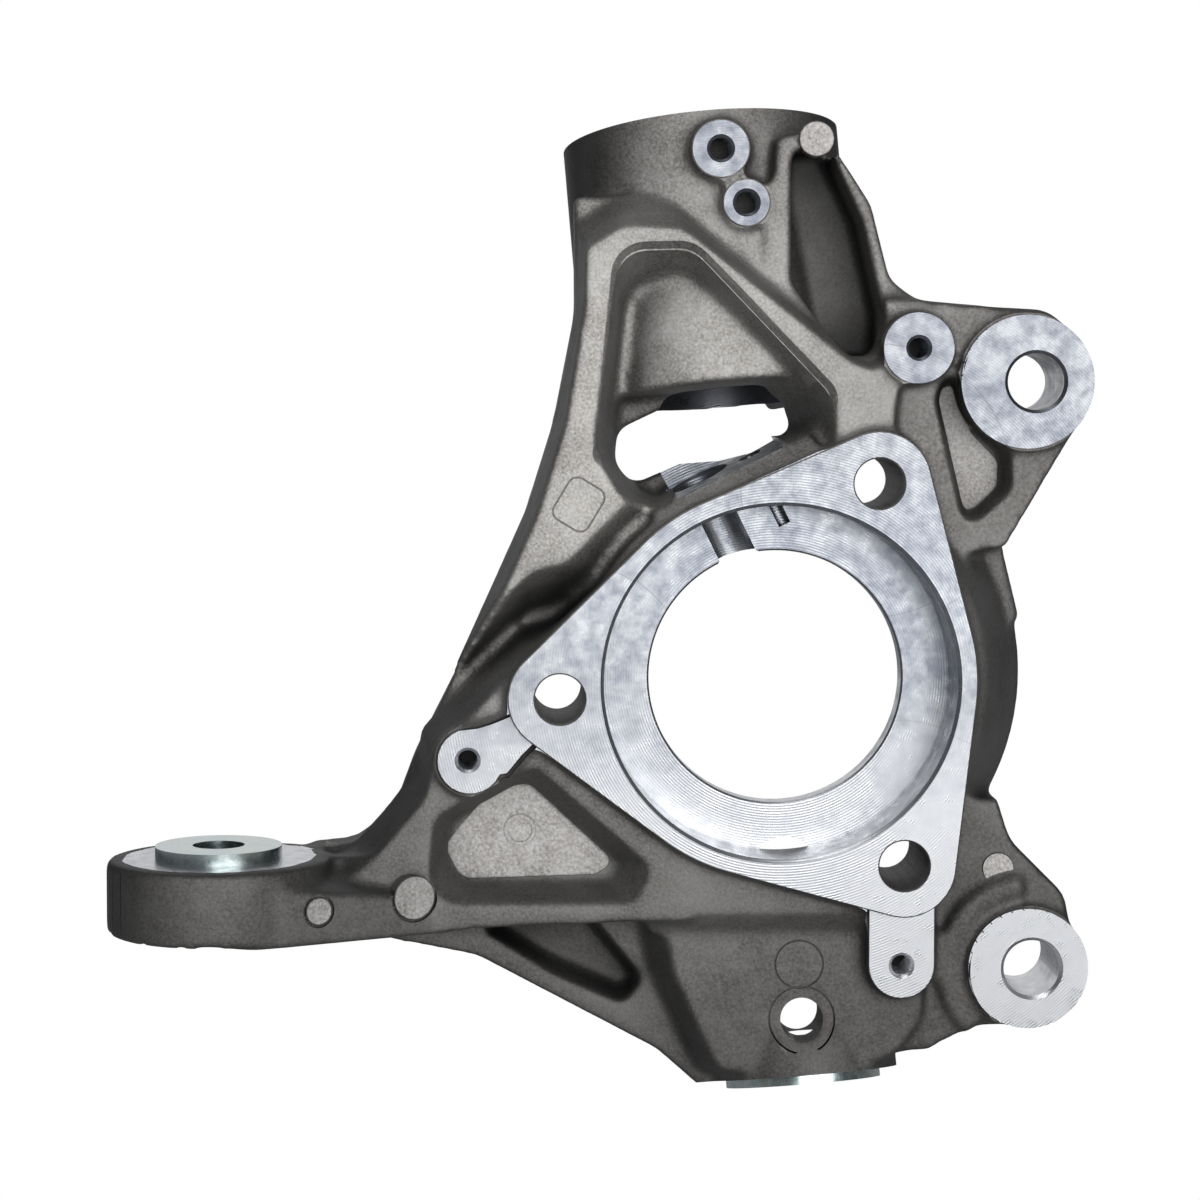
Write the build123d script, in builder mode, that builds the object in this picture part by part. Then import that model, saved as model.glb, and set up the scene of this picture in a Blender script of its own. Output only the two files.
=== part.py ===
from build123d import *
import os

os.makedirs("parts", exist_ok=True)

# Steering knuckle of a front strut suspension, one aluminium casting with two pressed-in steel seats.
# Millimetres. X points forward, Y inboard and Z up. The origin is the hub axis on the machined flange face.

# Hub bore and three-cornered flange
hub_bore_radius = 46.0
hub_bore_depth = 18.0
hub_lip_radius = 33.5
hub_lip_width = 7.0
hub_rear_radius = 40.0
hub_depth = 39.0
drain_radius = 9.0
hub_ring_radius = 51.0
hub_pitch_radius = 57.5
hub_lobe_radius = 13.5
hub_bolt_radius = 6.5
hub_bolt_angle = 64.0
flange_depth = 28.0

# Sensor seat on top of the hub ring
sensor_radius = 8.5
sensor_screw_radius = 3.0
sensor_hole_y = 24.9
sensor_screw_y = 20.5

# Depths of the cast faces behind the flange face
face_depth = 4.5
housing_face = 9.5
tier_depth = 24.0
web_rear = 38.0
arm_rear = 34.0

# Strut clamp
collar_radius = 37.9
strut_radius = 27.5
strut_stop_radius = 24.0
collar_length = 72.0
strut_depth = 62.0
clamp_slit = 5.0
clamp_ear_width = 34.0
clamp_bolt_radius = 6.2

# Caliper ears
ear_x = 67.5
ear_upper_z = 78.0
ear_lower_z = -76.7
ear_face = 10.0
ear_rear = 37.0
ear_upper_radius = 17.5
ear_lower_radius = 15.9
ear_upper_offset = 2.2
ear_lower_offset = 1.0
caliper_bolt_radius = 7.4

# Steering arm eye
eye_x = -146.3
eye_y = 9.0
eye_radius = 29.0
eye_top = -46.0
eye_bottom = -64.6
arm_bottom = -66.0
tie_rod_seat_radius = 13.0
tie_rod_flange_radius = 16.5
tie_rod_flange_height = 3.2
tie_rod_hole_radius = 6.8

# Ball joint housing and its seat
housing_radius = 25.5
joint_seat_radius = 17.5
joint_flange_radius = 20.8
joint_flange_height = 2.4
joint_seat_length = 9.0
joint_floor = 9.5
joint_hole_radius = 10.2
joint_spot_radius = 25.6

# Screw bosses
shield_hole_radius = 2.6
shield_boss_radius = 9.2
bracket_hole_radius = 2.9


def front(depth):
    return Plane.XZ.offset(-depth)


def outline(points, radii):
    with BuildSketch() as shape:
        with BuildLine():
            FilletPolyline(*points, radius=radii, close=True)
        make_face()
    return shape.sketch


def slab(points, radii, start, end):
    with BuildPart() as piece:
        with BuildSketch(front(start)):
            add(outline(points, radii))
        extrude(amount=start - end)
    return piece.part


def spread(points, offsets):
    # Moves every edge of an outline outward by its own offset, edge by edge from the first point
    count = len(points)
    area = sum(
        points[i - 1][0] * points[i][1] - points[i][0] * points[i - 1][1] for i in range(count)
    )
    side = 1 if area > 0 else -1
    lines = []
    for i in range(count):
        start = Vector(*points[i])
        along = (Vector(*points[(i + 1) % count]) - start).normalized()
        outward = Vector(along.Y, -along.X) * side
        lines.append((start + outward * offsets[i], along))
    moved = []
    for i in range(count):
        (before, direction), (after, along) = lines[i - 1], lines[i]
        gap = after - before
        reach = (gap.X * along.Y - gap.Y * along.X) / (direction.X * along.Y - direction.Y * along.X)
        corner = before + direction * reach
        moved.append((corner.X, corner.Y))
    return moved


def frustum(points, radii, near_depth, far_depth, offsets):
    with BuildPart() as piece:
        with BuildSketch(front(near_depth)):
            add(outline(points, radii))
        with BuildSketch(front(far_depth)):
            add(outline(spread(points, offsets), radii))
        loft(ruled=True)
    return piece.part


def disc(x, z, radius, start, end):
    with BuildPart() as piece:
        with BuildSketch(front(start)):
            with Locations((x, z)):
                Circle(radius)
        extrude(amount=start - end)
    return piece.part


strut_plane = Plane(
    origin=(-17.2, 60, 144.35), x_dir=(0.9967, 0, 0.0818), z_dir=(-0.081, 0.139, 0.987)
)
joint_plane = Plane(
    origin=(9.0, 30.0, -108.8), x_dir=(0.9967, 0, 0.0813), z_dir=(0.079, -0.205, -0.975)
)
clamp_bolt_plane = Plane(
    origin=strut_plane.from_local_coords((-clamp_ear_width / 2 - 10, 50, -28)), z_dir=strut_plane.x_dir
)
sensor_side = Plane(origin=(0, 0, 0), x_dir=(0, 1, 0), z_dir=(0.895, 0, 0.446))
sensor_plane = Plane(origin=(0, 0, 0), x_dir=(0.895, 0, 0.446), z_dir=(-0.446, 0, 0.895))

# Hub ring and flange
with BuildPart() as hub:
    with BuildSketch(front(0)):
        Circle(hub_ring_radius)
        with PolarLocations(hub_pitch_radius, 3, start_angle=hub_bolt_angle):
            Circle(hub_lobe_radius)
        make_hull()
    extrude(amount=-flange_depth)
    with BuildSketch(front(5)):
        Circle(hub_ring_radius + 2)
    extrude(amount=5 - hub_depth)
    # Cast seat for the wheel speed sensor, its slope falls to the flange
    with BuildSketch(sensor_side.offset(-10)):
        with BuildLine():
            Polyline((0.5, 49), (7, 54.2), (32, 56.4), (32, 40), (0.5, 40), close=True)
        make_face()
    extrude(amount=46)

# Strut collar with the split and clamp ears on its inboard side
with BuildPart() as collar:
    with BuildSketch(strut_plane):
        Circle(collar_radius)
    extrude(amount=-collar_length)
    with BuildSketch(strut_plane.offset(-8)):
        with Locations((0, 44)):
            RectangleRounded(clamp_ear_width, 40, 6)
    extrude(amount=-40)

# Full outline of the upright at its rear
rear_upright = slab(
    [
        (-53, 127), (-52.8, 96), (-58.5, 67), (-66, 43), (-78.3, 13), (-95.5, -21), (-101.5, -37),
        (-112, -45), (-124, -46), (-124, -66), (-60, -64), (-25, -62), (0, -30), (30, 40), (30, 78),
        (18, 84), (-8, 109), (-28, 127),
    ],
    [0, 30, 40, 60, 60, 14, 8, 8, 0, 0, 0, 0, 0, 0, 0, 0, 0, 0],
    tier_depth,
    web_rear,
)

# Front tier of the two legs round the window, its walls slope back to the rear outline
legs = frustum(
    [
        (-50.5, 112), (-50.8, 97), (-55.8, 67), (-63.3, 43), (-73.5, 20.5), (-64, 29), (-56, 31),
        (-38, 49), (10, 62), (29, 60), (31, 79), (19, 82.5), (-8, 104), (-25, 117.5), (-41, 118),
    ],
    [0, 30, 30, 40, 0, 4, 3, 0, 0, 0, 0, 12, 0, 9, 8],
    face_depth,
    tier_depth,
    [2, 2.3, 2.6, 3, 8, 11, 16.8, 8, 6, 2, 6, 5.5, 5.5, 10, 8],
)

# Front tier between the flange, the rear leg and the steering arm
lower_web = frustum(
    [
        (-58, 14), (-90.5, -19), (-92, -30), (-107, -47.5), (-117.5, -53.5), (-126, -54.5), (-126, -66),
        (-24, -62.5), (0, -30), (-20, 20),
    ],
    [0, 0, 8, 12, 8, 0, 0, 0, 0, 0],
    face_depth,
    tier_depth,
    [6, 4, 5.5, 4.5, 6, 0, 0.5, 0, 0, 0],
)

# Rib from the collar down to the upper caliper ear
side_rib = slab(
    [
        (0, 142), (11, 144.5), (16, 138.5), (25, 124.5), (30, 105), (37, 99.5), (55, 98), (55, 70),
        (20, 70), (-4, 95),
    ],
    [0, 4, 5, 8, 6, 8, 0, 0, 0, 0],
    17,
    45,
)

# Upper caliper arm
upper_arm = slab(
    [
        (20, 100), (34, 99.8), (50, 98), (71, 96.8), (80, 88), (82, 72), (60, 34.5), (30, 30), (15, 80),
    ],
    [0, 0, 0, 9, 0, 9, 0, 0, 0],
    12,
    arm_rear,
)

# Lower caliper arm
lower_arm = slab(
    [
        (30, -30), (58.5, -32), (62, -43), (77, -58), (79, -76), (70, -91.5), (52, -92.5), (40, -99),
        (20, -100), (20, -60),
    ],
    [0, 0, 10, 10, 0, 0, 10, 0, 0, 0],
    12,
    arm_rear,
)

# Spine between the two caliper ears, a part of the hub's conical root
with BuildPart() as spine:
    with BuildSketch(Plane.XY):
        with BuildLine():
            Polyline((40, 6), (54.5, 6), (66.9, 29), (66.9, arm_rear), (40, arm_rear), close=True)
        make_face()
    revolve(axis=Axis.Y, revolution_arc=360)
    with BuildSketch(front(0)):
        with Locations((55, -3)):
            Rectangle(50, 88)
    extrude(amount=-arm_rear - 2, mode=Mode.INTERSECT)
    add(slab([(50, 40), (61, 36), (66.2, 15), (50, 5)], [0, 0, 0, 0], 24, arm_rear))

# Lower housing with its leaning boss and the slope that joins it to the flange
housing_outline = [(-31, -55), (-27, -78), (-15, -104), (30, -101), (38, -90), (40, -55)]
housing_radii = [0, 20, 5, 8, 10, 0]
housing_spread = [8, 7, 2.5, 0.8, 0.5, 0]
with BuildPart() as housing:
    add(frustum(housing_outline, housing_radii, housing_face, tier_depth, housing_spread))
    add(slab(spread(housing_outline, housing_spread), housing_radii, tier_depth, 36))
    with BuildSketch(joint_plane):
        Circle(housing_radius)
    extrude(amount=-46)
    with BuildSketch(Plane.YZ.offset(-34)):
        with BuildLine():
            Polyline(
                (face_depth, -50), (face_depth, -60.5), (housing_face, -67), (14, -67), (14, -50),
                close=True,
            )
        make_face()
    extrude(amount=58)

# Lower rear web between steering arm and housing
rear_web = slab(
    [
        (-104, -55), (-104, -70), (-79, -75), (-31, -100.5), (-18, -112), (-5, -108), (-5, -55),
    ],
    [0, 0, 12, 10, 5, 0, 0],
    22,
    web_rear,
)

# Steering arm web, sloped down toward the front, then the full eye
with BuildPart() as arm:
    with BuildSketch(Plane.XY.offset(arm_bottom)):
        with Locations((eye_x + 9, eye_y)):
            Circle(eye_radius - 4)
        with Locations((-96, 17)):
            Circle(14)
        make_hull()
    extrude(amount=eye_top - arm_bottom)
    split(
        bisect_by=Plane(origin=(-117, -2, -51.8), z_dir=(0.178, -0.101, 0.979)),
        keep=Keep.BOTTOM,
    )
    with BuildSketch(Plane.XY.offset(eye_bottom)):
        with Locations((eye_x, eye_y)):
            Circle(eye_radius)
    extrude(amount=eye_top - eye_bottom)

# Window recess and the opening under the collar
recess_rim = [(-42.3, 112.8), (-22.5, 113.3), (14.2, 75), (14.5, 58), (-30, 43), (-41, 48), (-48.5, 60)]
recess_radii = [8, 9, 6, 0, 0, 5, 8]
opening_rim = [(-42, 56), (-41, 65), (-28, 71.2), (-12, 74), (4.5, 74), (2.5, 67.5), (-37, 50.5)]
opening_radii = [3, 4, 0, 0, 2.5, 2.5, 4]

with BuildPart() as knuckle_casting:
    add(rear_upright)
    add(legs)
    add(slab(recess_rim, recess_radii, -2, face_depth), mode=Mode.SUBTRACT)
    add(
        frustum(recess_rim, recess_radii, face_depth, 34, [-15, -13, -10.5, -0.5, -4, -6, -6.5]),
        mode=Mode.SUBTRACT,
    )
    add(side_rib)
    add(upper_arm)
    # Pocket beside the upper caliper ear
    add(frustum(
        [(40.5, 74), (43, 80.5), (49, 80.5), (53, 69), (62, 60), (62.5, 49), (52.5, 40), (48, 42)],
        [3, 0, 0, 4, 4, 4, 0, 0],
        8,
        20,
        [-2.2, -2.2, -2.4, -2.4, -2.6, -3, -2.2, -2],
    ), mode=Mode.SUBTRACT)
    add(lower_arm)
    add(spine.part)
    add(rear_web)
    # Pocket in the lower rear web
    add(frustum(
        [(-83, -65), (-48, -64), (-34, -81), (-40, -88.5), (-58, -80.5)],
        [0, 4, 2, 0, 0],
        21,
        31,
        [0, -3, -2, -3, -2.5],
    ), mode=Mode.SUBTRACT)
    add(lower_web)
    # Triangular pocket between flange and steering arm
    add(frustum(
        [(-64, -20), (-31, -49), (-36, -59), (-93, -59), (-91, -35)],
        [6, 3, 4, 8, 6],
        3,
        14,
        [-7, -10, -6, -6, -5],
    ), mode=Mode.SUBTRACT)
    add(arm.part)
    add(housing.part)
    add(collar.part)
    # Deep pocket between collar and side rib
    add(slab(
        [(4, 139), (13.5, 139.5), (22.5, 120), (28, 96), (27.5, 85), (17.5, 84.5), (4, 104)],
        [0, 3, 0, 0, 3.5, 3.5, 0],
        10,
        38,
    ), mode=Mode.SUBTRACT)
    add(hub.part)
    # Screw bosses of the brake shield and of the collar bracket
    add(disc(35.7, 86.7, shield_boss_radius, 3.5, 24))
    add(disc(-81.2, -20.2, shield_boss_radius, 3.5, 20))
    add(disc(32, -74.4, 8.75, 3.5, 24))
    add(slab([(23.25, -74.4), (40.75, -74.4), (40.75, -50), (23.25, -50)], [0, 0, 0, 0], 3.5, 24))
    add(slab([(-84, -14), (-72, -9), (-62, -9), (-62, -22), (-76, -27)], [0, 0, 0, 0, 0], 3.5, 20))
    add(disc(-14.8, 139.0, 7.8, 16, 32))
    add(disc(-8.0, 124.9, 6.3, 16, 32))
    # Caliper ears
    for ear_z, ear_radius, ear_offset in (
        (ear_upper_z, ear_upper_radius, ear_upper_offset),
        (ear_lower_z, ear_lower_radius, ear_lower_offset),
    ):
        with BuildSketch(front(ear_face)):
            with Locations((ear_x - ear_offset, ear_z)):
                Circle(ear_radius)
        extrude(amount=ear_face - ear_rear)
        with BuildSketch(front(ear_face)):
            with Locations((ear_x - ear_offset, ear_z)):
                Circle(ear_radius)
        extrude(amount=6, mode=Mode.SUBTRACT)
        with BuildSketch(front(ear_face)):
            with Locations((ear_x, ear_z)):
                Circle(caliper_bolt_radius)
        extrude(amount=ear_face - ear_rear - 2, mode=Mode.SUBTRACT)
    # Window under the collar
    add(slab(opening_rim, opening_radii, 12, 110), mode=Mode.SUBTRACT)
    # Cavity of the ball joint, open to the rear, and the access hole in its front wall
    with BuildSketch(joint_plane.offset(-joint_floor)):
        with Locations((0, -23)):
            RectangleRounded(37, 66, 6)
    extrude(amount=-32, mode=Mode.SUBTRACT)
    add(disc(6.5, -89.6, 5.6, 0, 40), mode=Mode.SUBTRACT)
    # Hub bore, lip, clearance behind the lip, bolt holes and the drain at the bottom of the bore
    with BuildSketch(front(0)):
        Circle(hub_bore_radius)
    extrude(amount=-hub_bore_depth, mode=Mode.SUBTRACT)
    with BuildSketch(front(0)):
        Circle(hub_lip_radius)
    extrude(amount=-hub_depth - 5, mode=Mode.SUBTRACT)
    add(disc(0, 0, hub_rear_radius, hub_bore_depth + hub_lip_width, hub_depth + 5), mode=Mode.SUBTRACT)
    add(disc(2.8, -51.5, drain_radius, hub_bore_depth, hub_depth + 5), mode=Mode.SUBTRACT)
    with BuildSketch(front(0)):
        with PolarLocations(hub_pitch_radius, 3, start_angle=hub_bolt_angle):
            Circle(hub_bolt_radius)
    extrude(amount=-hub_depth - 12, mode=Mode.SUBTRACT)
    # Sensor hole and its screw hole
    with BuildSketch(sensor_plane.offset(30)):
        with Locations((5.4, sensor_hole_y)):
            Circle(sensor_radius)
    extrude(amount=30, mode=Mode.SUBTRACT)
    with BuildSketch(sensor_plane.offset(35)):
        with Locations((20.2, sensor_screw_y)):
            Circle(sensor_screw_radius)
    extrude(amount=25, mode=Mode.SUBTRACT)
    # Strut bore, split and pinch bolt hole
    with BuildSketch(strut_plane):
        Circle(strut_radius)
    extrude(amount=-strut_depth, mode=Mode.SUBTRACT)
    with BuildSketch(strut_plane):
        Circle(strut_stop_radius)
    extrude(amount=-collar_length - 2, mode=Mode.SUBTRACT)
    with BuildSketch(strut_plane):
        with Locations((0, 45)):
            Rectangle(clamp_slit, 50)
    extrude(amount=-strut_depth + 8, mode=Mode.SUBTRACT)
    with BuildSketch(clamp_bolt_plane):
        Circle(clamp_bolt_radius)
    extrude(amount=clamp_ear_width + 20, mode=Mode.SUBTRACT)
    # Screw holes
    add(disc(35.7, 86.7, shield_hole_radius, 0, 20), mode=Mode.SUBTRACT)
    add(disc(-81.2, -20.2, shield_hole_radius, 0, 20), mode=Mode.SUBTRACT)
    add(disc(32, -74.4, shield_hole_radius, 0, 17), mode=Mode.SUBTRACT)
    add(disc(-14.8, 139.0, bracket_hole_radius, 10, 27), mode=Mode.SUBTRACT)
    add(disc(-8.0, 124.9, bracket_hole_radius, 10, 27), mode=Mode.SUBTRACT)
    # Seat bores and the spot face under the ball joint
    with BuildSketch(joint_plane):
        Circle(joint_spot_radius)
    extrude(amount=10, mode=Mode.SUBTRACT)
    with BuildSketch(Plane.XY.offset(arm_bottom)):
        with Locations((eye_x, eye_y)):
            Circle(tie_rod_seat_radius)
    extrude(amount=eye_top - arm_bottom, mode=Mode.SUBTRACT)
    with BuildSketch(joint_plane):
        Circle(joint_seat_radius)
    extrude(amount=-joint_floor - 2, mode=Mode.SUBTRACT)

# Steel seats, turned, each a bush with a flange
with BuildPart() as tie_rod_seat:
    with BuildSketch(Plane.XZ.offset(-eye_y)):
        with BuildLine():
            Polyline(
                (eye_x + tie_rod_hole_radius, eye_bottom),
                (eye_x + tie_rod_seat_radius, eye_bottom),
                (eye_x + tie_rod_seat_radius, eye_top),
                (eye_x + tie_rod_flange_radius, eye_top),
                (eye_x + tie_rod_flange_radius, eye_top + tie_rod_flange_height),
                (eye_x + tie_rod_hole_radius, eye_top + tie_rod_flange_height),
                close=True,
            )
        make_face()
    revolve(axis=Axis((eye_x, eye_y, 0), (0, 0, 1)))

with BuildPart() as ball_joint_seat:
    with BuildSketch(Plane(origin=joint_plane.origin, x_dir=joint_plane.x_dir, z_dir=-joint_plane.y_dir)):
        with BuildLine():
            Polyline(
                (joint_hole_radius, -joint_seat_length),
                (joint_seat_radius, -joint_seat_length),
                (joint_seat_radius, 0),
                (joint_flange_radius, 0),
                (joint_flange_radius, joint_flange_height),
                (joint_hole_radius, joint_flange_height),
                close=True,
            )
        make_face()
    revolve(axis=Axis(joint_plane.origin, joint_plane.z_dir))

knuckle_casting.part.label = "knuckle_casting"
tie_rod_seat.part.label = "tie_rod_seat"
ball_joint_seat.part.label = "ball_joint_seat"
export_step(knuckle_casting.part, "parts/knuckle_casting.step")
export_step(tie_rod_seat.part, "parts/tie_rod_seat.step")
export_step(ball_joint_seat.part, "parts/ball_joint_seat.step")
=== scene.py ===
import math

import bpy
import numpy as np
import openvdb as vdb
from mathutils import Matrix, Vector
from mathutils.geometry import tessellate_polygon


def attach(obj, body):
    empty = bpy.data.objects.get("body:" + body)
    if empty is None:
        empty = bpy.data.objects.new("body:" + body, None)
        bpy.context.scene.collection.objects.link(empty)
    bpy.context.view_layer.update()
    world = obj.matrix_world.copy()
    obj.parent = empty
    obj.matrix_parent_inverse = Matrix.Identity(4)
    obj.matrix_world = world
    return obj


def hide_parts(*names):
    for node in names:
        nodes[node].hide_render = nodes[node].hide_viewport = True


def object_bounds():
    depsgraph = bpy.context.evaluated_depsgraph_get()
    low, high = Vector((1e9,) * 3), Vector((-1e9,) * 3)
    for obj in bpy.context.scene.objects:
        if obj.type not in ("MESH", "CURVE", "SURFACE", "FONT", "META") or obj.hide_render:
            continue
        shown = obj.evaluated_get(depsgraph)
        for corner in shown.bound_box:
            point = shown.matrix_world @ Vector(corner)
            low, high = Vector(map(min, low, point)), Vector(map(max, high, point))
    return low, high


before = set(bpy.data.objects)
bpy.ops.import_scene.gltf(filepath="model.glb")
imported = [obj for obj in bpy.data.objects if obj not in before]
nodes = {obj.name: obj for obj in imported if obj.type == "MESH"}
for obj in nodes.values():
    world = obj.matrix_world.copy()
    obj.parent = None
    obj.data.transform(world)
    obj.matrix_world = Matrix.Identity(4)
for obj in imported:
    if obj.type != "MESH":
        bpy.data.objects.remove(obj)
cad_box = [[float(v) for v in corner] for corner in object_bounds()]

# Machined sizes of the casting in millimetres. X forward, Y inboard, Z up, origin on the hub axis.
OUTBOARD = (0, -1, 0)
RING_RADIUS = 51.0
PITCH_RADIUS = 57.5
LOBE_RADIUS = 13.5
BOLT_RADIUS = 6.5
BORE_RADIUS, BORE_DEPTH = 46.0, 18.0
LIP_RADIUS, LIP_DEPTH = 33.5, 25.0
REAR_RADIUS = 40.0
DRAIN, DRAIN_RADIUS = (2.8, -51.5), 9.0
BOLT_CENTRES = [(PITCH_RADIUS * math.cos(math.radians(a)), PITCH_RADIUS * math.sin(math.radians(a)))
                for a in (64, 184, 304)]
STRUT_AXIS = Vector((-0.081, 0.139, 0.987)).normalized()
STRUT_TOP = Vector((-17.2, 60, 144.35))
STRUT_RADIUS = 27.5
STOP_RADIUS, STOP_DEPTH = 24.0, 62.0
SPLIT_HALF = 2.5
PINCH_RADIUS = 6.2
JOINT_AXIS = Vector((0.079, -0.205, -0.975)).normalized()
JOINT_SEAT = Vector((9.0, 30.0, -108.8))
JOINT_BORE_RADIUS, JOINT_BORE_DEPTH = 17.5, 11.5
HOUSING_FACE = 9.5
ACCESS, ACCESS_RADIUS = (6.5, -89.6), 5.6
SENSOR_ALONG = Vector((0.895, 0, 0.446)).normalized()
SENSOR_UP = Vector((-0.446, 0, 0.895)).normalized()
SENSOR_RADIUS, SENSOR_SCREW_RADIUS = 8.5, 3.0
EYE = (-146.3, 9.0)
EYE_RADIUS = 29.0
EYE_TOP, EYE_BOTTOM = -46.0, -64.6
EYE_FACE_RADIUS, EYE_BORE_RADIUS = 27.0, 13.0
EAR_FACE, EAR_REAR = 10.0, 37.0
EAR_HOLE_RADIUS = 7.4
# X of the bolt hole, height of hole and spot face, X of the spot face and its radius
EARS = ((67.5, 78.0, 65.3, 17.5), (67.5, -76.7, 66.5, 15.9))
SCREW_FACE = 3.5
SCREW_CORE, BOSS_CORE = 2.6, 2.9
# X, height, thread core, boss radius, face and thread depth
BOSSES = ((35.7, 86.7, SCREW_CORE, 9.2, SCREW_FACE, 16.5),
          (-14.8, 139.0, BOSS_CORE, 7.7, 16, 11),
          (-8.0, 124.9, BOSS_CORE, 6.3, 16, 11))
RECESS_FACE = 4.5
POCKET_DEPTH, CRESCENT_DEPTH = 14.25, 20.15
RIB_TOP = (10.4, 141.6, 17)
MARK_RADII = (3.2, 4.1)
# Small bevel of a machined edge
BREAK = 0.3
# Order of the materials on the casting
CAST, MACHINED, PAD = 0, 1, 2
TRIANGLES = 150000
VOXEL = 0.8


# Outlines and solids in millimetres

def circle(radius, x=0.0, y=0.0, count=64):
    return [(x + radius * math.cos(2 * math.pi * k / count), y + radius * math.sin(2 * math.pi * k / count))
            for k in range(count)]


def arc(x, y, radius, start, end, count=16):
    step = math.radians(end - start) / count
    return [(x + radius * math.cos(math.radians(start) + step * k),
             y + radius * math.sin(math.radians(start) + step * k)) for k in range(count + 1)]


def anticlockwise(points):
    area = sum(points[i - 1][0] * points[i][1] - points[i][0] * points[i - 1][1] for i in range(len(points)))
    return list(points) if area > 0 else list(points)[::-1]


def rounded(points, radii, steps=6):
    # Outline with its corners rounded
    result, count = [], len(points)
    for i, (x, y) in enumerate(points):
        here = Vector((x, y))
        before = (Vector(points[i - 1]) - here).normalized()
        after = (Vector(points[(i + 1) % count]) - here).normalized()
        half = math.acos(max(-1, min(1, before.dot(after)))) / 2
        reach = radii[i] / math.tan(half)
        centre = here + (before + after).normalized() * (radii[i] / math.sin(half))
        first, last = here + before * reach - centre, here + after * reach - centre
        turn = math.atan2(first.x * last.y - first.y * last.x, first.dot(last))
        begin = math.atan2(first.y, first.x)
        result += [(centre.x + radii[i] * math.cos(begin + turn * k / steps),
                    centre.y + radii[i] * math.sin(begin + turn * k / steps)) for k in range(steps + 1)]
    return result


def outset(points, distance):
    # Outline moved outward by a distance, corner by corner
    points = anticlockwise(points)
    moved = []
    for i, point in enumerate(points):
        here = Vector(point)
        before = (here - Vector(points[i - 1])).normalized()
        after = (Vector(points[(i + 1) % len(points)]) - here).normalized()
        normal = (Vector((before.y, -before.x)) + Vector((after.y, -after.x))).normalized()
        moved.append(tuple(here + normal * (distance / max(0.4, normal.dot(Vector((after.y, -after.x)))))))
    return moved


def hull(points):
    # Convex outline round the points
    points = sorted(set((round(x, 4), round(y, 4)) for x, y in points))
    chains = []
    for ordered in (points, points[::-1]):
        chain = []
        for p in ordered:
            while len(chain) > 1 and ((chain[-1][0] - chain[-2][0]) * (p[1] - chain[-2][1])
                                      - (chain[-1][1] - chain[-2][1]) * (p[0] - chain[-2][0])) <= 0:
                chain.pop()
            chain.append(p)
        chains += chain[:-1]
    return chains


def layered(layers):
    # Solid through outlines of equal count at rising heights. Its two flat ends are the last two faces
    layers = [(anticlockwise(points), height) for points, height in layers]
    count = len(layers[0][0])
    vertices = [(x, y, height) for points, height in layers for x, y in points]
    faces = []
    for row in range(len(layers) - 1):
        a, b = row * count, (row + 1) * count
        faces += [[a + k, a + (k + 1) % count, b + (k + 1) % count, b + k] for k in range(count)]
    last = (len(layers) - 1) * count
    return vertices, faces + [list(range(count))[::-1], list(range(last, last + count))]


def prism(points, low, high):
    return layered([(points, low), (points, high)])


def lathe(profile, count=96):
    return layered([(circle(radius, count=count), height) for radius, height in profile])


def ring(inner, outer, low, high):
    # Frame between two outlines of equal count
    inner, outer = anticlockwise(inner), anticlockwise(outer)
    count = len(inner)
    loops = ((outer, low), (outer, high), (inner, high), (inner, low))
    vertices = [(x, y, height) for points, height in loops for x, y in points]
    faces = []
    for row in range(4):
        a, b = row * count, ((row + 1) % 4) * count
        faces += [[a + k, a + (k + 1) % count, b + (k + 1) % count, b + k] for k in range(count)]
    return vertices, faces


def box(low, high):
    (a, b, c), (d, e, f) = low, high
    return prism([(a, b), (d, b), (d, e), (a, e)], c, f)


def threaded(core, depth, face_radius, pitch=1.0):
    # Cutter of a tapped hole with its chamfer and the flat face round it
    profile = [(core, -depth)]
    for turn in range(int((depth - 1.5) / pitch)):
        profile += [(core, -depth + 0.2 + turn * pitch), (core + 0.4, -depth + 0.2 + (turn + 0.5) * pitch)]
    return lathe(profile + [(core, -0.8), (core + 0.8, 0), (face_radius, 0), (face_radius, 14)], 64)


def placed(origin, normal, across=(1, 0, 0)):
    z = Vector(normal).normalized()
    x = Vector(across)
    x = (x - z * x.dot(z)).normalized()
    return Matrix.Translation(Vector(origin)) @ Matrix((x, z.cross(x), z)).transposed().to_4x4()


def front(x=0.0, z=0.0, depth=0.0):
    # Local z points outboard from a depth behind the flange face
    return placed((x, depth, z), OUTBOARD)


FLANGE = hull(circle(RING_RADIUS, count=180) + [p for c in BOLT_CENTRES for p in circle(LOBE_RADIUS, *c, 72)])
STRUT = placed(STRUT_TOP, STRUT_AXIS)
JOINT = placed(JOINT_SEAT, JOINT_AXIS)
SENSOR = placed((0, 0, 0), SENSOR_UP, SENSOR_ALONG)
SENSOR_HOLE = SENSOR @ Matrix.Translation((5.4, 24.9, 0))
SENSOR_SCREW = SENSOR @ Matrix.Translation((20.2, 20.5, 0))
PINCH = placed(STRUT @ Vector((-27, 50, -28)), STRUT.col[0].xyz)
EYE_UP = placed((EYE[0], EYE[1], EYE_TOP), (0, 0, 1))
EYE_DOWN = placed((EYE[0], EYE[1], EYE_BOTTOM), (0, 0, -1))

TAB = ([(23.25, -57.8)] + arc(32, -74.4, 8.75, 180, 360) + [(40.75, -57.8), (40, -52), (24, -52)])
PLATE = (arc(-80.6, -20.4, 8.7, 110, 335) + [(-70.9, -23.8), (-67, -19), (-60, -12), (-62, -6), (-70.3, -8.6),
                                             (-74.7, -10.4), (-78.5, -11.6)])

RECESS_RIM = rounded([(-48.2, 56), (-42.3, 112.8), (-22.5, 113.3), (14.2, 75), (13, 66.5)], [3, 8, 9, 6, 1.5])

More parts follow.
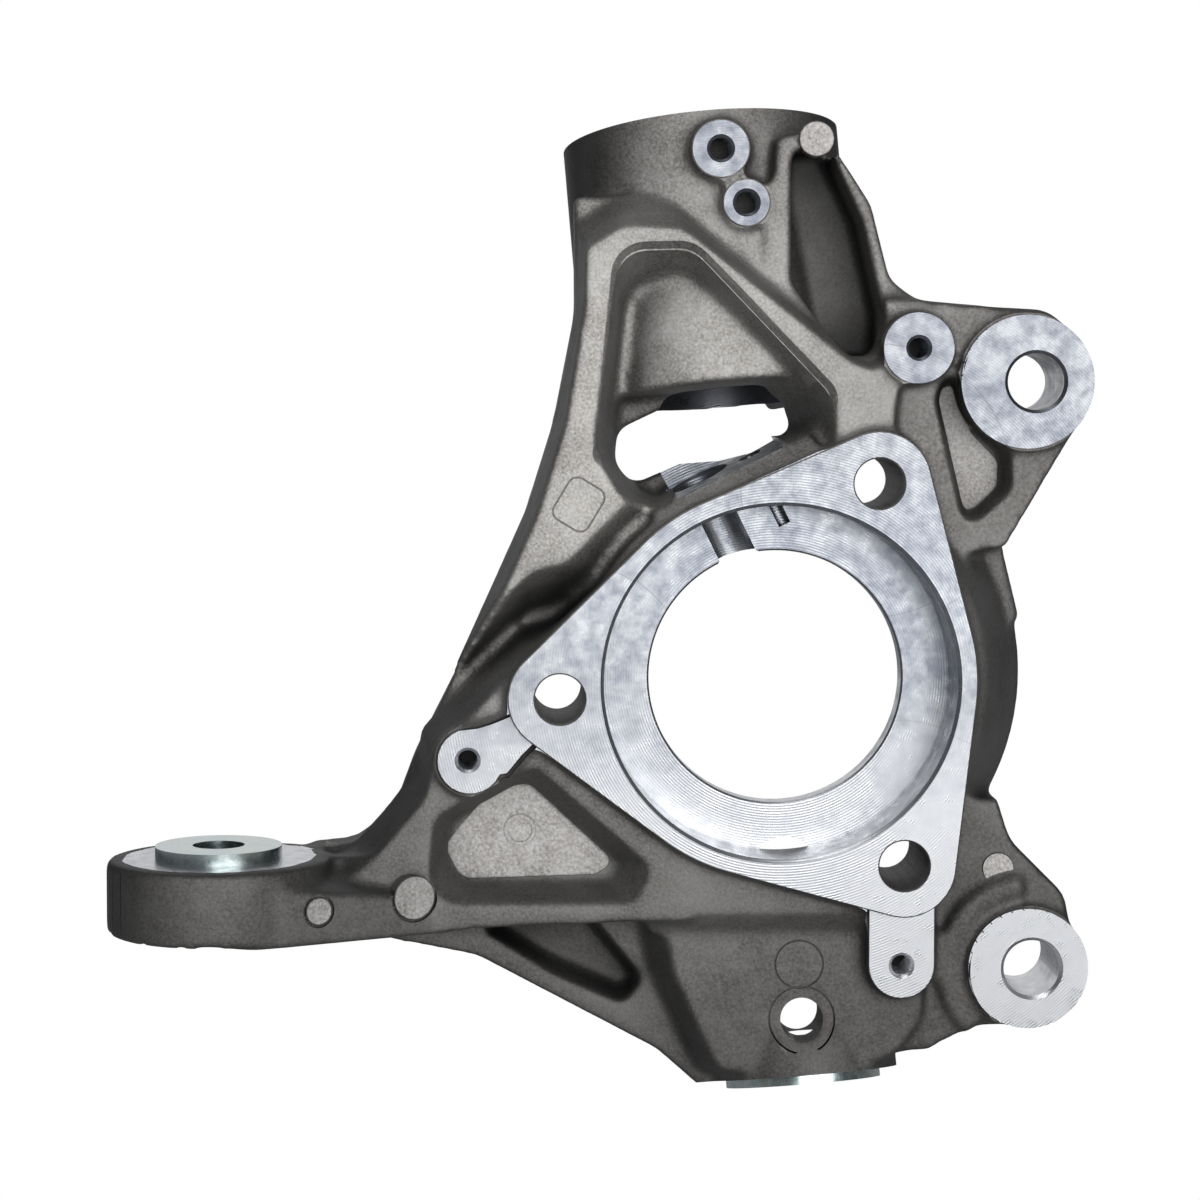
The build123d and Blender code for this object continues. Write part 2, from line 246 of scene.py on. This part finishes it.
# Raw casting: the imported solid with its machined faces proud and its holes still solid
stock = [
    (front(), prism(FLANGE, -12, 3)),
    (front(), lathe([(47, -38), (47, 3)])),
    (STRUT, lathe([(37.9, -4), (37.9, 5)])),
    (STRUT, lathe([(29, -61), (29, 5)])),
    (STRUT, lathe([(25, -71.5), (25, 0)])),
    (STRUT, box((-4, 26, -47), (4, 63, -8.5))),
    (PINCH, lathe([(8, 10.2), (8, 43.8)], 48)),
    (JOINT, lathe([(18.5, -9.4), (18.5, 4)])),
    (JOINT, lathe([(25.5, -2), (25.5, 4)])),
    (placed((EYE[0], EYE[1], 0), (0, 0, 1)), lathe([(19, -69), (19, -42)])),
    (front(*ACCESS), lathe([(7, -22), (7, -10)], 48)),
    (SENSOR, box((-2.5, 8, 36), (28, 35, 57.5))),
    (front(0, 0, SCREW_FACE), prism(TAB, -8, 3)),
    (front(0, 0, SCREW_FACE), prism(hull(PLATE), -8, 2.5)),
    (front(*BOSSES[0][:2], SCREW_FACE), lathe([(9.2, -6), (9.2, 3)], 64)),
]
for x, z in BOLT_CENTRES:
    stock.append((front(x, z), lathe([(8, -37.5), (8, 3)], 48)))
for hole_x, z, spot_x, radius in EARS:
    stock.append((front(spot_x, z), lathe([(radius, -38.5), (radius, -6)])))
# Cast ridge round the lower ear
RIDGE = arc(66.5, -76.2, 23.8, 95, 228, 24) + arc(66.5, -76.2, 19.6, 228, 95, 24)
stock.append((front(0, 0, 10), prism(RIDGE, -5, 0.5)))

casting = nodes["knuckle_casting"].data
casting.calc_loop_triangles()
points = np.empty(len(casting.vertices) * 3, np.float32)
casting.vertices.foreach_get("co", points)
triangles = np.empty(len(casting.loop_triangles) * 3, np.int32)
casting.loop_triangles.foreach_get("vertices", triangles)
all_points, all_triangles = [points.reshape(-1, 3) * 1000], [triangles.reshape(-1, 3)]
for where, (vertices, faces) in stock:
    base = sum(len(p) for p in all_points)
    all_points.append(np.array([where @ Vector(v) for v in vertices], np.float32))
    for face in faces:
        parts = tessellate_polygon([[Vector(vertices[i]) for i in face]])
        all_triangles.append(np.array([[base + face[i] for i in part] for part in parts], np.int32))


def offset_surface(surface, distance):
    corners, triangles, quads = surface
    grid = vdb.FloatGrid.createLevelSetFromPolygons(
        corners, triangles=triangles, quads=quads,
        transform=vdb.createLinearTransform(voxelSize=VOXEL), halfWidth=abs(distance) / VOXEL + 2.5)
    return grid.convertToPolygons(isovalue=distance, adaptivity=0.0)


# Hollow corners get cast fillets, outer corners a softer edge
FILLET, EDGE = 2.0, 0.9
surface = (np.concatenate(all_points), np.concatenate(all_triangles), np.zeros((0, 4), np.int32))
surface = offset_surface(surface, FILLET)
surface = offset_surface(surface, -FILLET - EDGE)
points, triangles, quads = offset_surface(surface, EDGE)


# Materials

# Centre of the painted pool of light on the cast skin, as X and Z in metres
LIGHTEST = (-0.045, 0.07)
# Turning rings in radians a metre, and the cutter's arcs round the bolt holes in metres
RINGS = 9000
ARC_RADIUS, ARC_HALF_WIDTH = 0.036, 0.00016


def material(name, build):
    m = bpy.data.materials.new(name)
    m.use_nodes = True
    build(m.node_tree, m.node_tree.nodes["Principled BSDF"])
    return m


def feed(tree, socket, value):
    if isinstance(value, bpy.types.NodeSocket):
        tree.links.new(value, socket)
    elif isinstance(value, tuple) and len(value) == 3 and socket.type == "RGBA":
        socket.default_value = (*value, 1)
    elif socket.type == "RGBA":
        socket.default_value = value if isinstance(value, tuple) else (value, value, value, 1)
    else:
        socket.default_value = value


def node(tree, kind, **settings):
    n = tree.nodes.new(kind)
    for key, value in settings.items():
        if key in n.inputs:
            feed(tree, n.inputs[key], value)
        else:
            setattr(n, key, value)
    return n


def noise(tree, scale, detail=4.0, roughness=0.55):
    place = node(tree, "ShaderNodeTexCoord").outputs["Object"]
    return node(tree, "ShaderNodeTexNoise", Scale=scale, Detail=detail, Roughness=roughness,
                Vector=place).outputs["Fac"]


def ramp(tree, value, stops):
    n = node(tree, "ShaderNodeValToRGB", Fac=value)
    elements = n.color_ramp.elements
    while len(elements) < len(stops):
        elements.new(0.5)
    for element, (place, shade) in zip(elements, stops):
        element.position = place
        element.color = (*shade, 1) if isinstance(shade, tuple) else (shade, shade, shade, 1)
    return n.outputs["Color"]


def blend(tree, first, second, factor, mode="MIX"):
    n = node(tree, "ShaderNodeMix", data_type="RGBA", blend_type=mode)
    for index, value in ((0, factor), (6, first), (7, second)):
        feed(tree, n.inputs[index], value)
    return n.outputs[2]


def maths(tree, operation, first, second=0.0):
    n = node(tree, "ShaderNodeMath", operation=operation)
    feed(tree, n.inputs[0], first)
    feed(tree, n.inputs[1], second)
    return n.outputs[0]


def distance_from(tree, place, x, z):
    # Distance in metres across the XZ plane
    dx = maths(tree, "SUBTRACT", place.outputs["X"], x)
    dz = maths(tree, "SUBTRACT", place.outputs["Z"], z)
    return maths(tree, "SQRT", maths(tree, "ADD", maths(tree, "MULTIPLY", dx, dx),
                                     maths(tree, "MULTIPLY", dz, dz)))


def cast_skin(dark, light, painted_hollow_shade, rough, paint_light_pool=True):
    # Cast aluminium: sandy grain, cloudy tone, painted shade in the hollows, and outer edges lightened partly
    # as rubbed wear and partly as painted highlight
    def build(tree, shader):
        grain = noise(tree, 1300, 5.0, 0.65)
        clouds = noise(tree, 34, 6.0, 0.6)
        patches = noise(tree, 170, 4.0, 0.55)
        tone = blend(tree, ramp(tree, clouds, ((0.33, dark), (0.68, light))),
                     ramp(tree, grain, ((0.32, 0.2), (0.7, 0.88))), 0.75, "OVERLAY")
        tone = blend(tree, tone, ramp(tree, patches, ((0.35, 0.4), (0.65, 0.6))), 0.55, "OVERLAY")
        # Painted shade: the tone darkens in the hollows by ambient occlusion
        hollow = node(tree, "ShaderNodeAmbientOcclusion", Distance=0.014, samples=8).outputs["AO"]
        tone = blend(tree, tone, ramp(tree, hollow, ((0.3, painted_hollow_shade), (0.8, 1.0))), 1.0, "MULTIPLY")
        # Shade painted after the photo: faces turned away from Y are darker, and so are those further inboard
        geometry = node(tree, "ShaderNodeNewGeometry")
        facing = node(tree, "ShaderNodeSeparateXYZ", Vector=geometry.outputs["Normal"])
        flat = maths(tree, "ABSOLUTE", facing.outputs["Y"])
        tone = blend(tree, tone, ramp(tree, flat, ((0.3, 0.3), (0.75, 0.46), (0.98, 1.0))), 1.0, "MULTIPLY")
        place = node(tree, "ShaderNodeSeparateXYZ", Vector=node(tree, "ShaderNodeTexCoord").outputs["Object"])
        depth = maths(tree, "MULTIPLY", place.outputs["Y"], 20)
        tone = blend(tree, tone, ramp(tree, depth, ((0.52, 1.0), (0.72, 0.35))), 1.0, "MULTIPLY")
        if paint_light_pool:
            # Painted pool of light: the photo is lightest on the upper rear leg, and the tone is darker away
            # from it
            away = maths(tree, "MULTIPLY", distance_from(tree, place, *LIGHTEST), 5)
            fade = ramp(tree, away, ((0.15, 1.0), (0.35, 0.68), (0.5, 0.44), (0.85, 0.23)))
            tone = blend(tree, tone, fade, 1.0, "MULTIPLY")
        # Outer edges lightened by pointiness: partly rubbed wear, partly painted highlight
        rubbed_and_highlit = ramp(tree, geometry.outputs["Pointiness"], ((0.55, 0.0), (0.62, 0.3)))
        tone = blend(tree, tone, (0.5, 0.48, 0.45), rubbed_and_highlit)
        feed(tree, shader.inputs["Base Color"], tone)
        shader.inputs["Metallic"].default_value = 0.3
        feed(tree, shader.inputs["Roughness"], ramp(tree, grain, ((0.3, rough), (0.7, rough + 0.14))))
        wide = node(tree, "ShaderNodeBump", Strength=0.35, Distance=0.0006, Height=patches)
        fine = node(tree, "ShaderNodeBump", Strength=0.6, Distance=0.00025, Height=grain,
                    Normal=wide.outputs["Normal"])
        feed(tree, shader.inputs["Normal"], fine.outputs["Normal"])
    return build


def machined_metal(tree, shader):
    # Milled aluminium: bright and mottled, with turning rings and the arcs that the cutter left
    place = node(tree, "ShaderNodeSeparateXYZ", Vector=node(tree, "ShaderNodeTexCoord").outputs["Object"])
    mottle = noise(tree, 240, 5.0, 0.65)
    smears = noise(tree, 42, 4.0, 0.55)
    rings = maths(tree, "SINE", maths(tree, "MULTIPLY", distance_from(tree, place, 0, 0), RINGS))
    tone = blend(tree, ramp(tree, mottle, ((0.34, (0.25, 0.265, 0.3)), (0.62, (0.34, 0.35, 0.365)))),
                 ramp(tree, smears, ((0.35, (0.42, 0.435, 0.465)), (0.62, (0.6, 0.6, 0.6)))), 0.6, "OVERLAY")
    line = 0.0
    for x, z in BOLT_CENTRES:
        reach = distance_from(tree, place, x / 1000, z / 1000)
        off = maths(tree, "ABSOLUTE", maths(tree, "SUBTRACT", reach, ARC_RADIUS))
        line = maths(tree, "MAXIMUM", line, maths(tree, "LESS_THAN", off, ARC_HALF_WIDTH))
    tone = blend(tree, tone, (0.2, 0.21, 0.22), maths(tree, "MULTIPLY", line, 0.6))
    # Painted light and shade by height after the photo, which has the lower faces lighter and the upper ones
    # darker
    level = maths(tree, "ADD", maths(tree, "MULTIPLY", place.outputs["Z"], 4), 0.5)
    tone = blend(tree, tone, (0.8, 0.81, 0.825), ramp(tree, level, ((0.12, 0.72), (0.36, 0.5), (0.5, 0.0))))
    painted_upper_shade = ramp(tree, level, ((0.58, 0.0), (0.8, 1.0)))
    tone = blend(tree, tone, (0.66, 0.66, 0.67), painted_upper_shade, "MULTIPLY")
    feed(tree, shader.inputs["Base Color"], tone)
    shader.inputs["Metallic"].default_value = 0.95
    feed(tree, shader.inputs["Roughness"], ramp(tree, mottle, ((0.35, 0.4), (0.65, 0.26))))
    height = maths(tree, "ADD", maths(tree, "MULTIPLY", rings, 0.3), mottle)
    bump = node(tree, "ShaderNodeBump", Strength=0.14, Distance=0.0002, Height=height)
    feed(tree, shader.inputs["Normal"], bump.outputs["Normal"])


def plated_steel(tree, shader):
    # Zinc plate with a faint green and blue cast and a fine grain
    shift = noise(tree, 320, 4.0, 0.6)
    stain = noise(tree, 90, 4.0, 0.6)
    tone = blend(tree, ramp(tree, shift, ((0.35, (0.36, 0.42, 0.41)), (0.65, (0.58, 0.63, 0.61)))),
                 ramp(tree, stain, ((0.35, (0.48, 0.53, 0.58)), (0.65, (0.56, 0.55, 0.5)))), 0.5, "OVERLAY")
    feed(tree, shader.inputs["Base Color"], tone)
    shader.inputs["Metallic"].default_value = 1.0
    feed(tree, shader.inputs["Roughness"], ramp(tree, shift, ((0.3, 0.2), (0.7, 0.32))))
    bump = node(tree, "ShaderNodeBump", Strength=0.15, Distance=0.0002, Height=shift)
    feed(tree, shader.inputs["Normal"], bump.outputs["Normal"])


cast = material("cast_aluminium", cast_skin((0.44, 0.42, 0.395), (0.74, 0.72, 0.69), 0.14, 0.5))
machined = material("machined_aluminium", machined_metal)
pad = material("pressed_aluminium", cast_skin((0.42, 0.4, 0.385), (0.6, 0.58, 0.56), 0.4, 0.4, False))
steel = material("zinc_steel", plated_steel)
SURFACES = (cast, machined, pad)


def cutting_tool(name, where, shape, side, ends):
    # Object of one step, with one material on its sides and one on its two ends
    vertices, faces = shape
    mesh = bpy.data.meshes.new(name)
    mesh.from_pydata([where @ Vector(v) for v in vertices], [], faces)
    for m in SURFACES:
        mesh.materials.append(m)
    mesh.polygons.foreach_set("material_index", [side] * (len(faces) - 2) + [ends] * 2)
    mesh.update()
    thing = bpy.data.objects.new(name, mesh)
    bpy.context.scene.collection.objects.link(thing)
    return thing


# Rough surface of the casting, still in millimetres
mesh = bpy.data.meshes.new("casting")
mesh.vertices.add(len(points))
mesh.vertices.foreach_set("co", points.astype(np.float32).ravel())
mesh.loops.add(len(quads) * 4)
mesh.loops.foreach_set("vertex_index", quads[:, ::-1].astype(np.int32).ravel())
mesh.polygons.add(len(quads))
mesh.polygons.foreach_set("loop_start", np.arange(0, len(quads) * 4, 4, dtype=np.int32))
mesh.update(calc_edges=True)
mesh.validate()
for m in SURFACES:
    mesh.materials.append(m)
skin = bpy.data.objects.new("casting", mesh)
bpy.context.scene.collection.objects.link(skin)
smooth = skin.modifiers.new("smooth", "SMOOTH")
smooth.factor, smooth.iterations = 0.5, 7
thin = skin.modifiers.new("thin", "DECIMATE")
thin.ratio = min(1.0, TRIANGLES / (2 * len(quads)))

steps = []


def cut(where, shape, side=MACHINED, ends=None):
    steps.append(("DIFFERENCE", where, shape, side, side if ends is None else ends))


def join(where, shape, side=CAST, ends=None):
    steps.append(("UNION", where, shape, side, side if ends is None else ends))


def groove(where, outline, width=0.7, depth=0.6, above=3.0):
    cut(where, ring(outset(outline, -width / 2), outset(outline, width / 2), -depth, above), CAST)


# Machined flange, with the tab and the plate of two screws beside it
cut(front(), box((-74.5, -66, -0.5), (56, 69, 30)))
for outline in (TAB, PLATE):
    cut(front(0, 0, SCREW_FACE), prism(outset(outline, 0.8), -0.9, 6), CAST)
    join(front(0, 0, SCREW_FACE), layered([(outline, -5), (outline, -BREAK), (outset(outline, -BREAK), 0)]),
         CAST, MACHINED)
rim_inner, rim_outer = outset(RECESS_RIM, -0.8), outset(RECESS_RIM, 1.2)
cut(front(0, 0, RECESS_FACE), layered([(rim_inner, -2.2), (rim_outer, 0), (rim_outer, 4)]), CAST)
flange_side = outset(FLANGE, 0.06)
join(front(), layered([(flange_side, -10), (flange_side, -0.35), (outset(FLANGE, -BREAK), 0)]),
     CAST, MACHINED)
cut(front(), lathe([(REAR_RADIUS, -60), (REAR_RADIUS, -LIP_DEPTH)], 128), CAST)
# Block that closes the gap which the sensor's hole would open behind the lip
join(SENSOR, box((-6.5, 24.5, 26), (17, 35, 43)))
cut(front(), lathe([(LIP_RADIUS, -60), (LIP_RADIUS, -BORE_DEPTH - 0.5), (LIP_RADIUS + 0.5, -BORE_DEPTH),
                    (BORE_RADIUS, -BORE_DEPTH), (BORE_RADIUS, -0.9), (BORE_RADIUS + 0.9, 0),
                    (BORE_RADIUS + 0.9, 20)], 160))
cut(front(*DRAIN), lathe([(DRAIN_RADIUS, -60), (DRAIN_RADIUS, -BORE_DEPTH + 0.05)], 64))
for x, z in BOLT_CENTRES:
    cut(front(x, z), lathe([(BOLT_RADIUS, -60), (BOLT_RADIUS, -0.4), (BOLT_RADIUS + 0.4, 0),
                            (BOLT_RADIUS + 0.4, 12)]), CAST)

# Sensor seat, its hole and its screw hole
SEAT_SLOPE = math.atan2(2.3, 28)
seat_plane = SENSOR @ Matrix.Translation((0, 8, 54.3)) @ Matrix.Rotation(SEAT_SLOPE, 4, "X")
cut(seat_plane, box((-2.5, -2, 0), (28, 29, 7)))
cut(SENSOR_HOLE, lathe([(SENSOR_RADIUS, 30), (SENSOR_RADIUS, 55.6), (SENSOR_RADIUS + 0.7, 56.6),
                        (SENSOR_RADIUS + 0.7, 62)], 64))
cut(SENSOR_SCREW, lathe([(SENSOR_SCREW_RADIUS, 35), (SENSOR_SCREW_RADIUS, 55),
                         (SENSOR_SCREW_RADIUS + 0.6, 55.6), (SENSOR_SCREW_RADIUS + 0.6, 62)], 48))

# Strut bore, split and pinch bolt hole
cut(STRUT, box((-80, -80, 0), (80, 80, 40)))
cut(STRUT, lathe([(STOP_RADIUS, -90), (STOP_RADIUS, -STOP_DEPTH), (STRUT_RADIUS, -STOP_DEPTH),
                  (STRUT_RADIUS, -1.2), (STRUT_RADIUS + 1.2, 0), (STRUT_RADIUS + 1.2, 20)], 128))
cut(STRUT, box((-SPLIT_HALF, 20, -54), (SPLIT_HALF, 70, 20)))
cut(PINCH, lathe([(PINCH_RADIUS, -5), (PINCH_RADIUS, 60)], 48))

# Seats of the ball joint and of the tie rod
cut(JOINT, box((-80, -60, 0), (80, 60, 30)), CAST)
cut(JOINT, lathe([(JOINT_BORE_RADIUS, -JOINT_BORE_DEPTH), (JOINT_BORE_RADIUS, 5)]))
for eye_side in (EYE_UP, EYE_DOWN):
    cut(eye_side, lathe([(EYE_FACE_RADIUS, 0), (EYE_FACE_RADIUS, 14)]))
cut(EYE_DOWN, lathe([(EYE_BORE_RADIUS, -40), (EYE_BORE_RADIUS, 14)]))
cut(front(*ACCESS, HOUSING_FACE), lathe([(ACCESS_RADIUS, -20), (ACCESS_RADIUS, 10)], 64), CAST)

# Caliper ears
for hole_x, z, spot_x, radius in EARS:
    cut(front(spot_x, z, EAR_FACE), lathe([(radius, 0), (radius, 20)]))
    groove(front(spot_x, z, EAR_FACE), circle(radius + 0.4), 0.8, 0.6, 2.5)
    cut(front(spot_x, z, EAR_REAR), lathe([(radius + 0.4, -20), (radius + 0.4, 0)]))
    cut(front(hole_x, z, EAR_FACE), lathe([(EAR_HOLE_RADIUS, -40), (EAR_HOLE_RADIUS, -0.9),
                                           (EAR_HOLE_RADIUS + 0.9, 0), (EAR_HOLE_RADIUS + 0.9, 9)]))

# Screw bosses
for x, z, core, boss, face, depth in BOSSES:
    join(front(x, z, face), lathe([(boss, -6), (boss, -BREAK), (boss - BREAK, 0)], 64), CAST, MACHINED)
    cut(front(x, z, face), threaded(core, depth, boss + 0.8), MACHINED, CAST)
    groove(front(x, z, face), circle(boss + 0.45), 0.9, 0.7, 6)
cut(front(-81.2, -20.2, SCREW_FACE), threaded(SCREW_CORE, 16.5, 4.2), MACHINED, CAST)
cut(front(32, -74.4, SCREW_FACE), threaded(SCREW_CORE, 13.5, 4.2), MACHINED, CAST)

# Ejector pads, witness rings and the generic ring mark in the pocket
ARM_OUT = (0.44, -0.9, 0)
for place, radius in (((-119.1, -9.9, -57.0), 3.5), ((-95.1, 1.9, -55.7), 5.7)):
    groove(placed(place, ARM_OUT), circle(radius + 0.4), 0.8, 0.7)
    join(placed(place, ARM_OUT), lathe([(radius, -3), (radius, 0.1), (radius - 0.2, 0.3)], 48), CAST, PAD)
groove(front(5.8, -75.1, HOUSING_FACE), circle(6.3), 0.5, 0.4)
groove(front(*ACCESS, HOUSING_FACE), circle(8.6), 0.5, 0.3)
turned = Matrix.Rotation(math.radians(-31), 4, "Z")
LEG_MARK = rounded([(-5.2, -6.2), (5.2, -6.2), (5.2, 6.2), (-5.2, 6.2)], [2.6] * 4)
groove(front(-52.4, 46.2, RECESS_FACE) @ turned, LEG_MARK, 0.5, 0.4)
POCKET_FLOOR = rounded([(-87.5, -44), (-73, -26.5), (-65.5, -27), (-42.5, -48.5), (-47.5, -51.8),
                        (-83, -52.8)], [3, 4, 5, 2.5, 3, 5])
cut(front(0, 0, POCKET_DEPTH), prism(POCKET_FLOOR, 0, 2), CAST, PAD)
join(front(-67.6, -40, POCKET_DEPTH), ring(*(circle(radius) for radius in MARK_RADII), -1, 0.45), PAD)
CRESCENT_FLOOR = rounded([(42.2, 75.5), (47.5, 77.5), (52, 64.5), (59.2, 57), (59, 49.5), (52, 43),
                          (48.5, 45.5), (45, 62)], [1.5, 2, 3, 3, 3, 1.5, 2, 8])
cut(front(0, 0, CRESCENT_DEPTH), prism(CRESCENT_FLOOR, 0, 1.5), CAST, PAD)
join(front(*RIB_TOP), lathe([(4.7, -4), (4.7, 0.2), (4.4, 0.5)], 48), CAST, PAD)
groove(front(*RIB_TOP), circle(5.0), 0.6, 0.6)
join(front(58.6, -50.3, 12), lathe([(4.2, -4), (4.2, 0.1), (4.0, 0.4)], 48), CAST, PAD)

# Trimmed parting line on the eye and a shard of flash on the arm
for angle in (206, 216):
    radial = (math.cos(math.radians(angle)), math.sin(math.radians(angle)), 0)
    surface_point = (EYE[0] + EYE_RADIUS * radial[0], EYE[1] + EYE_RADIUS * radial[1], -55)
    cut(placed(surface_point, radial, (0, 0, 1)), box((-14, -0.2, -0.35), (14, 0.2, 2)), CAST)
SHARD = [(-119.4, -47.2), (-119.2, -44.3), (-118, -44.9), (-116, -45.2), (-114.5, -46), (-113, -47.2)]
join(front(0, 0, 25), prism(SHARD, -1, 1))

cutters = []
for number, (operation, where, shape, side, ends) in enumerate(steps):
    cutter = cutting_tool(f"step_{number}", where, shape, side, ends)
    cutters.append(cutter)
    step = skin.modifiers.new("step", "BOOLEAN")
    step.operation, step.solver, step.object, step.material_mode = operation, "MANIFOLD", cutter, "INDEX"
bpy.context.view_layer.update()
finished = bpy.data.meshes.new_from_object(skin.evaluated_get(bpy.context.evaluated_depsgraph_get()))
skin.modifiers.clear()
skin.data = finished
for cutter in cutters:
    bpy.data.objects.remove(cutter)
finished.transform(Matrix.Scale(0.001, 4))
finished.set_sharp_from_angle(angle=math.radians(32))
print("casting triangles", sum(len(p.vertices) - 2 for p in finished.polygons))
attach(skin, "root")
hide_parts("knuckle_casting")

# Pressed-in seats
for name in ("tie_rod_seat", "ball_joint_seat"):
    seat_node = nodes[name]
    seat_node.data.materials.clear()
    seat_node.data.materials.append(steel)
    bevel = seat_node.modifiers.new("edge", "BEVEL")
    bevel.width, bevel.segments, bevel.limit_method, bevel.angle_limit = 0.0006, 2, "ANGLE", math.radians(40)

# Stage, light and camera
world = bpy.data.worlds.new("studio")
bpy.context.scene.world = world
world.use_nodes = True
tree = world.node_tree
background = tree.nodes["Background"]
background.inputs["Color"].default_value = (0.31, 0.32, 0.34, 1)
background.inputs["Strength"].default_value = 0.35
white = node(tree, "ShaderNodeBackground", Color=(1, 1, 1, 1), Strength=1.0)
mix = node(tree, "ShaderNodeMixShader", Fac=node(tree, "ShaderNodeLightPath").outputs["Is Camera Ray"])
tree.links.new(background.outputs[0], mix.inputs[1])
tree.links.new(white.outputs[0], mix.inputs[2])
tree.links.new(mix.outputs[0], tree.nodes["World Output"].inputs["Surface"])


def white_floor(tree, shader):
    grain = noise(tree, 60, 3.0)
    feed(tree, shader.inputs["Base Color"], ramp(tree, grain, ((0.0, 0.74), (1.0, 0.8))))
    shader.inputs["Roughness"].default_value = 0.9
    glow = node(tree, "ShaderNodeEmission", Color=(1, 1, 1, 1), Strength=1.0)
    pick = node(tree, "ShaderNodeMixShader", Fac=node(tree, "ShaderNodeLightPath").outputs["Is Camera Ray"])
    tree.links.new(shader.outputs[0], pick.inputs[1])
    tree.links.new(glow.outputs[0], pick.inputs[2])
    tree.links.new(pick.outputs[0], tree.nodes["Material Output"].inputs["Surface"])


# Half the floor's side and how far it lies below the part, in metres
FLOOR_HALF, FLOOR_DROP = 1.5, 0.03
floor_mesh = bpy.data.meshes.new("floor")
corners = [(-FLOOR_HALF, -FLOOR_HALF, 0), (FLOOR_HALF, -FLOOR_HALF, 0), (FLOOR_HALF, FLOOR_HALF, 0),
           (-FLOOR_HALF, FLOOR_HALF, 0)]
floor_mesh.from_pydata(corners, [], [[0, 1, 2, 3]])
floor_mesh.materials.append(material("pale_floor", white_floor))
floor = bpy.data.objects.new("floor", floor_mesh)
floor.location = (0, 0, cad_box[0][2] - FLOOR_DROP)
bpy.context.scene.collection.objects.link(floor)


def area_light(name, place, size, power):
    # Square light that faces the hub's centre, in metres and watts
    light = bpy.data.lights.new(name, "AREA")
    light.shape, light.size, light.energy = "SQUARE", size, power
    thing = bpy.data.objects.new(name, light)
    thing.location = place
    thing.rotation_euler = (Vector((0, 0, 0)) - Vector(place)).to_track_quat("-Z", "Y").to_euler()
    bpy.context.scene.collection.objects.link(thing)


area_light("front", (0.5, -1.9, -0.25), 2.0, 50)
area_light("top", (-0.3, -0.7, 1.5), 1.0, 7)
area_light("back", (0, 1.8, 0.5), 1.6, 6)

# Camera at the photo's angle, its place in metres
CAMERA_PLACE = (-0.07449, -0.73714, 0.07547)
CAMERA_AIM = Vector((0.02463, 0.99856, -0.0476))
LENS, SENSOR_WIDTH = 86.039, 36
SHIFT = (0.03, -0.06)
camera = bpy.data.cameras.new("camera")
camera.lens, camera.sensor_width = LENS, SENSOR_WIDTH
camera.shift_x, camera.shift_y = SHIFT
view_point = bpy.data.objects.new("camera", camera)
view_point.location = CAMERA_PLACE
view_point.rotation_euler = CAMERA_AIM.to_track_quat("-Z", "Y").to_euler()
bpy.context.scene.collection.objects.link(view_point)
bpy.context.scene.camera = view_point
bpy.context.scene.view_settings.view_transform = "Standard"
